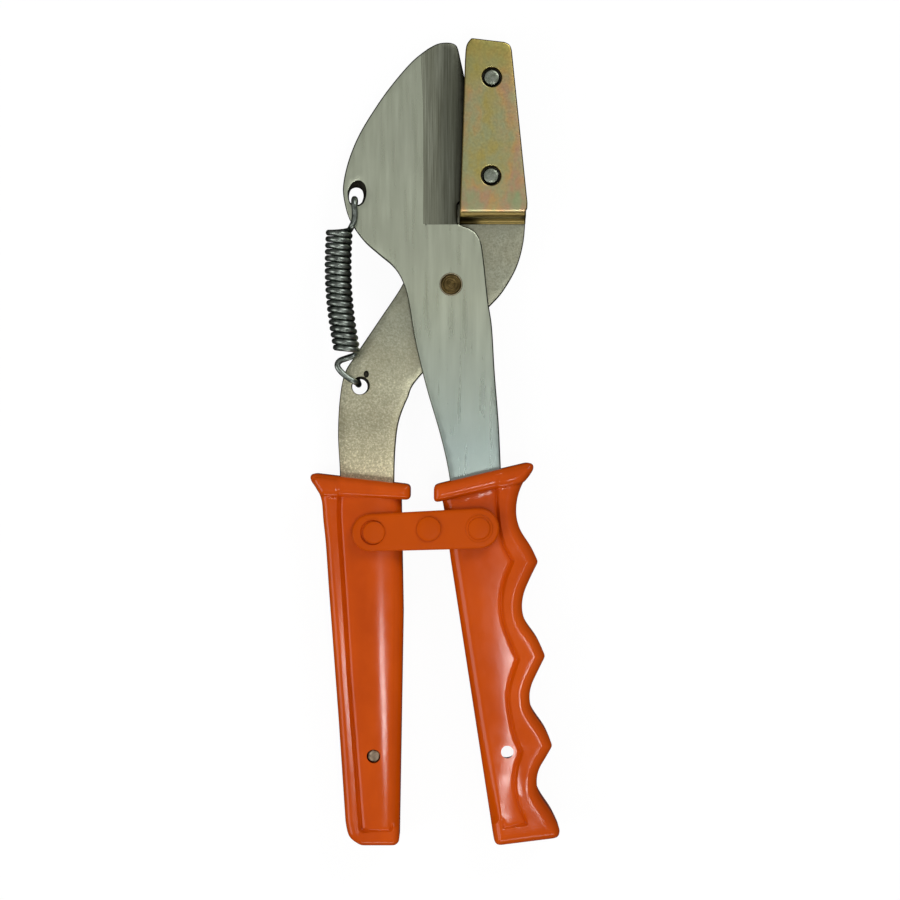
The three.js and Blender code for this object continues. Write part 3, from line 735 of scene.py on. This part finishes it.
def pivot_bush():
    high = BLADE_Z[1]
    section = [
        (2.36, 7.72), (3.2, 7.72), (3.2, high - 0.1), (3.1, high), (2.95, high), (2.82, high - 0.2),
        (2.82, 10.45), (2.36, 10.25), (2.36, 7.72),
    ]
    piece = lathe("pivot_bush_fine", section, (0, 0), 96)
    return belongs(piece, "blade_lever", "pivot_brass", ["pivot_bush"], BRASS)


def pivot_washer():
    low, high = ARM_Z[0] - 1.05, ARM_Z[0] - 0.05
    section = [(2.5, low), (5.9, low), (6, low + 0.1), (6, high - 0.1), (5.9, high), (2.5, high), (2.5, low)]
    piece = lathe("pivot_washer_fine", section, (0, 0), 72)
    return belongs(piece, "anvil_lever", "rivet_steel", ["pivot_washer"], RIVET)


# ---- Grips ----

BODY_EDGE = 2.0
RIGHT_BODY_EDGE = 3.0
COLLAR_EDGE = 1.9
BACK_EDGE = 1.6
PANEL_STEP = 1.0
PANEL_GROOVE = 0.3
PANEL_CREASE = 0.4
BORDER_FALL = 0.075
HANG_RADIUS = 1.75
HOLE_TAPER = 1.55
HOLE_TAPER_REACH = 4.4

LEFT_BODY = loop(
    (-14.0, -57), [(-37.8, -54)],
    [(-38.4, -55.2), (-37.0, -58.2), (-36.1, -61.0), (-35.7, -66), (-35.0, -72.8), (-34.2, -84.6)],
    [(-31.4, -122)], [(-29.5, -150.4)], [(-28.4, -154.6), (-25.2, -157.0)], [(-15.6, -157.0)],
    [(-14.5, -156.0)], [(-14.2, -139)], [(-13.4, -92)], soft=0.5,
)
LEFT_COLLAR = loop(
    (-38.3, -53.0), [(-39.3, -53.7), (-39.0, -55.2), (-37.9, -56.8), (-37.0, -58.4)],
    [(-36.0, -59.2)], [(-12.4, -60.4)], [(-11.6, -60.2), (-11.4, -59.4)], [(-11.4, -57.0)],
    [(-11.7, -56.3), (-12.6, -56.0)], soft=0.4,
)
LEFT_PANEL = loop(
    (-31.2, -58.0), [(-31.4, -66), (-30.0, -88), (-28.6, -111), (-26.9, -133), (-25.4, -152.4)],
    [(-24.6, -153.0)], [(-16.9, -153.0)], [(-16.4, -152.4)], [(-16.0, -110), (-15.6, -58.0)], soft=0.3,
)

RIGHT_BODY = loop(
    (21.4, -51), [(-3.2, -57)], [(-2.0, -62.7)], [(0.0, -77.8)], [(11.6, -153.0)],
    [(12.3, -156.4), (13.6, -157.1)], [(28.8, -155.2)], [(30.1, -154.6), (30.5, -152.8)],
    [(28.3, -148.2), (24.9, -143.0), (24.0, -139.6), (24.6, -136.0), (26.6, -132.4), (28.4, -129.3)],
    [(26.4, -124.8), (22.9, -119.6), (22.0, -116.0), (22.5, -112.4), (24.4, -108.2), (26.4, -104.2)],
    [(24.2, -99.4), (20.9, -94.6), (19.9, -90.8), (20.4, -86.6), (22.3, -82.0), (24.4, -77.8)],
    [(22.4, -73.6), (19.4, -68.8), (18.3, -64.6), (18.6, -60.0), (20.2, -55.6), (23.2, -51.8)],
    soft=0.5,
)
RIGHT_COLLAR = loop(
    (21.3, -50.0), [(-3.8, -56.0)], [(-4.6, -56.5), (-4.8, -57.4)], [(-4.8, -60.2)],
    [(-4.5, -60.9), (-3.6, -61.0)], [(13.0, -57.1)], [(20.4, -55.5)],
    [(21.8, -53.8), (23.0, -51.8), (22.8, -50.4), (21.3, -50.0)],
    soft=0.4,
)
RIGHT_PANEL = loop(
    (-0.2, -58.4), [(13.2, -54.8)], [(13.0, -61), (13.6, -68), (15.0, -73), (17.4, -77.3)],
    [(15.2, -83), (14.3, -88.5), (14.9, -94.4), (16.8, -99.7), (19.0, -104.8)],
    [(17.1, -110.4), (16.2, -115), (16.7, -120), (17.9, -125.6), (19.9, -130.6)],
    [(18.5, -135.5), (18.1, -139.5), (18.9, -144.5), (21.5, -150.9)],
    [(14.5, -152.3)], [(2.9, -78.4)], [(0.8, -62.7)], soft=0.3,
)


def left_outer(points):
    return smooth(points[:, 0], -29.5, -32.5)


def right_outer(points):
    return smooth(points[:, 0], 12.0, 15.5)


def grip(name, outlines, panel, inner, crown, panel_holes, outer, body_edge=BODY_EDGE):
    """outlines are the body's and the collar's. inner(points) is 1 where the panel runs out to the edge.

    outer(points) is 1 on the border, where the collar flows into it.
    """
    body, collar = outlines

    def heights(points):
        into, bead = depth(points, body), depth(points, collar)
        at_panel = depth(points, panel)
        open_side = inner(points)
        across = crown(points)
        step = open_side + (1 - open_side) * smooth(at_panel, -0.45, 0.35)
        groove = np.exp(-((at_panel - 0.35) / 0.35) ** 2) * (1 - open_side)
        crease = smooth(at_panel, 0.3, -2.4) * open_side
        front = FRONT_Z - 0.08 - PANEL_STEP * step - PANEL_GROOVE * groove
        front = front + across * smooth(into, 0, 3) - PANEL_CREASE * crease
        front -= BORDER_FALL * np.clip(into - body_edge + 0.5, 0, 5) * smooth(at_panel, 0.2, -0.2)
        front = np.minimum(front, FRONT_Z) - rounded(into, body_edge)
        front[into < -0.01] = -1e3
        guard = COLLAR_Z[1] - rounded(bead, COLLAR_EDGE)
        guard[bead < -0.01] = -1e3
        border = outer(points)
        width = 0.05 + 3.2 * border
        guard = guard - 0.55 * border
        join = np.clip(width - np.abs(front - guard), 0, None) ** 2 / (4 * width)
        return np.maximum(front, guard) + join

    def backs(points):
        into, bead = depth(points, body), depth(points, collar)
        back = BACK_Z + rounded(into, BACK_EDGE)
        back[into < -0.01] = 1e3
        guard = COLLAR_Z[0] + rounded(bead, BACK_EDGE)
        guard[bead < -0.01] = 1e3
        return np.minimum(back, guard)

    rows = [offset(panel, gap) for gap in (-2.2, -1.4, -0.8, -0.45, -0.22, 0.01, 0.2, 0.4, 0.65, 1.0, 1.5)]
    rims = (0.05, 0.16, 0.34, 0.6, 0.95, 1.4, 1.9, 2.4, 3.0)
    return relief(name, outlines, heights, backs, panel_holes, rims, 0.9, rows)


def left_grip():
    def inner(points):
        return smooth(points[:, 0], -19.5, -16.5) * smooth(points[:, 1], -152.2, -149.6)

    def crown(points):
        left = np.interp(-points[:, 1], (60, 153), (-31.4, -25.4))
        u = np.clip((points[:, 0] - left) / (-13.8 - left), 0, 1)
        return 1.05 * (1 - (2 * u - 1) ** 2)

    hole = circle(GRIP_PIN, PIN_HOLE)
    piece = grip("left_grip_fine", [LEFT_BODY, LEFT_COLLAR], LEFT_PANEL, inner, crown, [hole], left_outer)
    return belongs(piece, "anvil_lever", "grip_orange", ["left_grip"], GRIP)


def right_side(points):
    """Where the right grip's smooth side lies across from each point."""
    return np.interp(-points[:, 1], (62.7, 78.4, 152.3), (0.8, 2.9, 14.5))


def right_grip():
    """The hang hole widens towards the back."""
    def inner(points):
        return smooth(points[:, 0] - right_side(points), 4.0, 1.5) * smooth(points[:, 1], -151.4, -149.0)

    def crown(points):
        left = right_side(points)
        right = np.interp(-points[:, 1], (60, 150), (14.0, 20.5))
        u = np.clip((points[:, 0] - left) / (right - left), 0, 1)
        scoop = 0.6 * smooth(points[:, 1], -137, -151)
        lean = np.interp(-points[:, 1], (80, 122, 148), (-0.35, -0.3, 0.42))
        return 0.14 * (1 - (1.7 * u - 0.7) ** 2) + lean * (1 - u) + scoop

    hole = circle(HANG_HOLE, HANG_RADIUS)
    piece = grip(
        "right_grip_fine", [RIGHT_BODY, RIGHT_COLLAR], RIGHT_PANEL, inner, crown, [hole], right_outer,
        RIGHT_BODY_EDGE,
    )
    for vertex in piece.data.vertices:
        gap = (np.array(vertex.co) - PIVOT) / MM - (*HANG_HOLE, 0)
        away = math.hypot(gap[0], gap[1])
        if gap[2] < FRONT_Z / 2 and away < HOLE_TAPER_REACH:
            push = HOLE_TAPER * (HOLE_TAPER_REACH - away) / (HOLE_TAPER_REACH - HANG_RADIUS) / away
            vertex.co.x += gap[0] * push * MM
            vertex.co.y += gap[1] * push * MM
    return belongs(piece, "blade_lever", "grip_orange", ["right_grip"], GRIP)


def grip_pin():
    profile = [
        (0, 2.2), (1.4, 2.2), (1.6, 2.4), (1.6, 13.9), (1.5, 14.05), (1.2, 14.1), (0.5, 13.95), (0, 13.95),
    ]
    piece = lathe("left_grip_pin_fine", profile, GRIP_PIN, 48)
    return belongs(piece, "anvil_lever", "rivet_steel", ["left_grip_pin"], PIN)


# ---- Locking strap ----

END_RADIUS = 5.2
SWING_RADIUS = 5.6
SWING_BORE = 3.06
THUMB_BORE = 2.2
BOSS_RADIUS = 3.1
MOAT_RADIUS = 3.47
DISC_TOP = 18.2
POCKET_ROOF = 16.4
POCKET_REACH = 3.2
STUD_FOOT = FRONT_Z + 0.02


def strap_ring():
    tilt = math.atan2(SWING[1] - STRAP_END[1], SWING[0] - STRAP_END[0])
    quarter = math.pi / 2
    angles = np.linspace(tilt + quarter, tilt + 3 * quarter, 60)
    end = STRAP_END + END_RADIUS * np.column_stack([np.cos(angles), np.sin(angles)])
    angles = np.linspace(tilt - quarter, tilt + quarter, 60)
    near = SWING + SWING_RADIUS * np.column_stack([np.cos(angles), np.sin(angles)])
    return soften(evenly(np.vstack([end, near]), 0.3), 1.0)


def latch_strap():
    ring = strap_ring()
    bore, shank = circle(SWING, SWING_BORE), circle(THUMB, THUMB_BORE)
    boss_moat = np.array([CATCH[0] - 0.35, CATCH[1]])
    reach = math.dist(CATCH, SWING)

    def front(points):
        height = STRAP_Z[1] - rounded(depth(points, ring), 0.7)
        from_boss = np.hypot(*(points - CATCH).T)
        from_moat = np.hypot(*(points - boss_moat).T)
        in_moat = (from_moat < MOAT_RADIUS) & (from_boss > BOSS_RADIUS + 0.02)
        height -= 0.4 * in_moat * smooth(from_moat, MOAT_RADIUS, 3.3)
        lean = 0.25 * smooth(points[:, 0], CATCH[0] - 1, CATCH[0] + 3)
        top = DISC_TOP - 0.5 * rounded(BOSS_RADIUS - from_boss, 0.6) - lean
        return np.where(from_boss <= BOSS_RADIUS, top, height)

    def back(points):
        """A pocket round the catch stud, open along the stud's path as the strap swings away."""
        from_swing = np.hypot(*(points - SWING).T)
        turn = np.arctan2(points[:, 1] - SWING[1], SWING[0] - points[:, 0])
        closed = math.atan2(CATCH[1] - SWING[1], SWING[0] - CATCH[0])
        in_band = (np.abs(from_swing - reach) < POCKET_REACH) & (turn > closed)
        in_pocket = in_band | (np.hypot(*(points - CATCH).T) < POCKET_REACH)
        return np.where(in_pocket, POCKET_ROOF, STRAP_Z[0] + rounded(depth(points, ring), 0.3))

    rows = [circle(CATCH, radius, 0.25) for radius in (2.3, 2.6, 2.85, 3.0, 3.08, 3.11, 3.14, 3.18, 3.22)]
    rows += [circle(boss_moat, radius, 0.25) for radius in (3.3, 3.4, 3.47, 3.5)]
    turns = np.radians(np.arange(150, 184, 1.0))
    for radius in (reach - 3.22, reach - 3.18, reach + 3.18, reach + 3.22):
        rows.append(np.column_stack([SWING[0] + radius * np.cos(turns), SWING[1] + radius * np.sin(turns)]))
    rims = (0.04, 0.14, 0.3, 0.5, 0.7)
    piece = relief("latch_strap_fine", [ring], front, back, [bore, shank], rims, 0.7, rows)
    return belongs(piece, "latch", "strap_orange", ["latch_strap"], STRAP)


def latch_catch_stud():
    profile = [
        (0, 11.9), (1.9, 11.9), (1.9, STUD_FOOT), (2.9, STUD_FOOT), (2.9, 15.75), (2.8, 16.0), (2.6, 16.1),
        (0, 16.1),
    ]
    piece = lathe("latch_catch_stud_fine", profile, CATCH)
    return belongs(piece, "anvil_lever", "strap_orange", ["latch_catch_stud"], GRIP)


def latch_pivot_stud():
    profile = [
        (0, 11.9), (1.9, 11.9), (1.9, STUD_FOOT), (3.0, STUD_FOOT), (3.0, 17.55), (3.8, 17.56), (3.8, 17.62),
        (3.65, 17.72), (3.3, 17.76), (3.1, 17.72), (3.04, 17.95), (2.9, 18.06), (2.6, 18.1), (0, 18.12),
    ]
    piece = lathe("latch_pivot_stud_fine", profile, SWING)
    return belongs(piece, "blade_lever", "strap_orange", ["latch_pivot_stud"], STRAP)


def latch_thumb_button():
    profile = [
        (0, 15.3), (1.9, 15.3), (1.9, 17.55), (3.3, 17.55), (3.4, 17.6), (3.4, 17.85), (3.3, 18.02),
        (3.05, 18.1), (2.0, 18.17), (0, 18.2),
    ]
    piece = lathe("latch_thumb_button_fine", profile, THUMB)
    return belongs(piece, "latch", "strap_orange", ["latch_thumb_button"], STRAP)


# ---- Return spring ----

WIRE_RADIUS = 0.87
COIL_RADIUS = 2.97
TURNS = 19
STEPS_IN_TURN = 24
COIL_Z = 10.6
COIL_BOW = 0.7
HOOK_STEP = 0.5
COIL_TOP = (-31.3, 15.4)
COIL_BOTTOM = (-29.2, -18.6)
TOP_HOOK = [
    (-27.3, 22.0, 5.8), (-27.1, 23.5, 6.7), (-27.0, 23.9, 9.3), (-27.1, 23.8, 11.2), (-27.1, 22.5, 12.35),
    (-26.9, 20.0, 12.4), (-27.1, 17.6, 12.3), (-27.7, 16.3, 12.1),
]
BOTTOM_HOOK = [
    (-26.9, -19.7, 8.9), (-29.3, -20.6, 8.4), (-31.3, -21.4, 8.6), (-32.0, -22.7, 8.8), (-31.1, -24.3, 8.8),
    (-29.2, -26.0, 8.6), (-27.4, -27.1, 8.3), (-26.5, -27.6, 7.0), (-26.3, -27.9, 5.2), (-26.2, -27.9, 3.6),
    (-26.4, -27.3, 2.4), (-27.0, -26.0, 2.2), (-27.6, -24.8, 2.2),
]


def coil_point(t):
    x = COIL_TOP[0] + (COIL_BOTTOM[0] - COIL_TOP[0]) * t * t - COIL_BOW * math.sin(math.pi * t)
    y = COIL_TOP[1] + (COIL_BOTTOM[1] - COIL_TOP[1]) * t
    angle = 2 * math.pi * TURNS * t
    return (x + COIL_RADIUS * math.cos(angle), y, COIL_Z - COIL_RADIUS * math.sin(angle))


def return_spring():
    steps = TURNS * STEPS_IN_TURN
    coil = [coil_point(i / steps) for i in range(steps + 1)]
    centre = spline(TOP_HOOK + coil[:1], HOOK_STEP) + coil + spline([coil[-1], *BOTTOM_HOOK], HOOK_STEP)[1:]
    centre.append(np.array(BOTTOM_HOOK[-1]))
    centre = in_metres(centre)
    curve = bpy.data.curves.new("return_spring_wire", "CURVE")
    curve.dimensions = "3D"
    curve.bevel_depth = WIRE_RADIUS * MM
    curve.bevel_resolution = 3
    curve.use_fill_caps = True
    wire = curve.splines.new("POLY")
    wire.points.add(len(centre) - 1)
    wire.points.foreach_set("co", np.column_stack([centre, np.ones(len(centre))]).ravel())
    source = bpy.data.objects.new("return_spring_wire", curve)
    mesh = bpy.data.meshes.new_from_object(source)
    bpy.data.objects.remove(source)
    mesh.polygons.foreach_set("use_smooth", [True] * len(mesh.polygons))
    piece = bpy.data.objects.new("return_spring_fine", mesh)
    bpy.context.scene.collection.objects.link(piece)
    piece.data.materials.clear()
    piece.data.materials.append(WIRE)
    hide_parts("return_spring")
    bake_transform(piece)
    return piece


# ---- The tool ----


def anvil_strip():
    """Almost all of it is hidden, so it keeps the CAD model's shape."""
    strip = frame["nodes"]["anvil_strip"]
    # It is painted in SHADED: painted shade for a strip that lies under the cheek in shadow.
    strip.data.materials.clear()
    strip.data.materials.append(SHADED)


blade()
anvil_arm()
anvil_cheek()
cheek_rivet("upper", UPPER_RIVET)
cheek_rivet("lower", LOWER_RIVET)
pivot_rivet()
pivot_bush()
pivot_washer()
left_grip()
right_grip()
grip_pin()
latch_strap()
latch_catch_stud()
latch_pivot_stud()
latch_thumb_button()
return_spring()
anvil_strip()


# ---- Floor, light and camera ----

FLOOR_GLOW = 0.95
FLOOR_HALF = 2.5
SKY = (0.25, 0.95, 0.17, 0.36)
LENS = 85
SENSOR = 36
VIEW_WIDTH = 0.252
VIEW_CENTRE = (0.00413, -0.0023, 0.012)


def floor():
    """White to the camera, and dark to the tool, so that it doesn't light the tool's edges."""
    material = bpy.data.materials.new("floor")
    material.use_nodes = True
    tree = material.node_tree
    shader = tree.nodes["Principled BSDF"]
    shader.inputs["Base Color"].default_value = (0.07, 0.07, 0.07, 1)
    shader.inputs["Roughness"].default_value = 1.0
    shader.inputs["Specular IOR Level"].default_value = 0.0
    shader.inputs["Emission Color"].default_value = (1, 1, 1, 1)
    seen = tree.nodes.new("ShaderNodeLightPath").outputs["Is Camera Ray"]
    glow = tree.nodes.new("ShaderNodeMath")
    glow.operation = "MULTIPLY"
    glow.inputs[1].default_value = FLOOR_GLOW
    tree.links.new(seen, glow.inputs[0])
    tree.links.new(glow.outputs[0], shader.inputs["Emission Strength"])
    mesh = bpy.data.meshes.new("floor")
    corners = [(x * FLOOR_HALF, y * FLOOR_HALF, 0) for x, y in ((-1, -1), (1, -1), (1, 1), (-1, 1))]
    mesh.from_pydata(corners, [], [(0, 1, 2, 3)])
    mesh.materials.append(material)
    plane = bpy.data.objects.new("floor", mesh)
    plane.location.z = -0.0002
    bpy.context.scene.collection.objects.link(plane)


def lamp(name, place, target, size, power):
    data = bpy.data.lights.new(name, "AREA")
    data.shape = "RECTANGLE"
    data.size, data.size_y = size
    data.energy = power
    light = bpy.data.objects.new(name, data)
    light.location = place
    light.rotation_euler = (Vector(target) - Vector(place)).to_track_quat("-Z", "Y").to_euler()
    bpy.context.scene.collection.objects.link(light)


def world():
    """Light from all round, stronger from above: SKY maps a direction's height to the light's strength."""
    scene = bpy.context.scene
    scene.world = bpy.data.worlds.new("studio")
    scene.world.use_nodes = True
    tree = scene.world.node_tree
    direction = tree.nodes.new("ShaderNodeTexCoord").outputs["Generated"]
    split = tree.nodes.new("ShaderNodeSeparateXYZ")
    span = tree.nodes.new("ShaderNodeMapRange")
    for socket, value in zip(span.inputs[1:5], SKY):
        socket.default_value = value
    tree.links.new(direction, split.inputs[0])
    tree.links.new(split.outputs["Z"], span.inputs[0])
    tree.links.new(span.outputs[0], tree.nodes["Background"].inputs["Strength"])
    tree.nodes["Background"].inputs["Color"].default_value = (1, 1, 1, 1)
    scene.view_settings.view_transform = "Standard"


def camera():
    data = bpy.data.cameras.new("camera")
    data.lens = LENS
    data.sensor_width = SENSOR
    data.clip_start = 0.01
    view = bpy.data.objects.new("camera", data)
    view.location = (*VIEW_CENTRE[:2], VIEW_CENTRE[2] + VIEW_WIDTH * LENS / SENSOR)
    bpy.context.scene.collection.objects.link(view)
    bpy.context.scene.camera = view


floor()
world()
lamp("key", (0.55, 0.75, 0.75), (0, 0, 0), (0.5, 0.5), 4.8)
lamp("fill", (-0.8, -0.3, 0.6), (0, 0, 0), (0.6, 0.6), 3.5)
lamp("flash", (0.065, -0.135, 0.6), (0, -0.05, 0), (0.045, 0.08), 0.42)
lamp("low", (0.0, -0.9, 0.4), (0, 0, 0), (0.7, 0.2), 2)
camera()
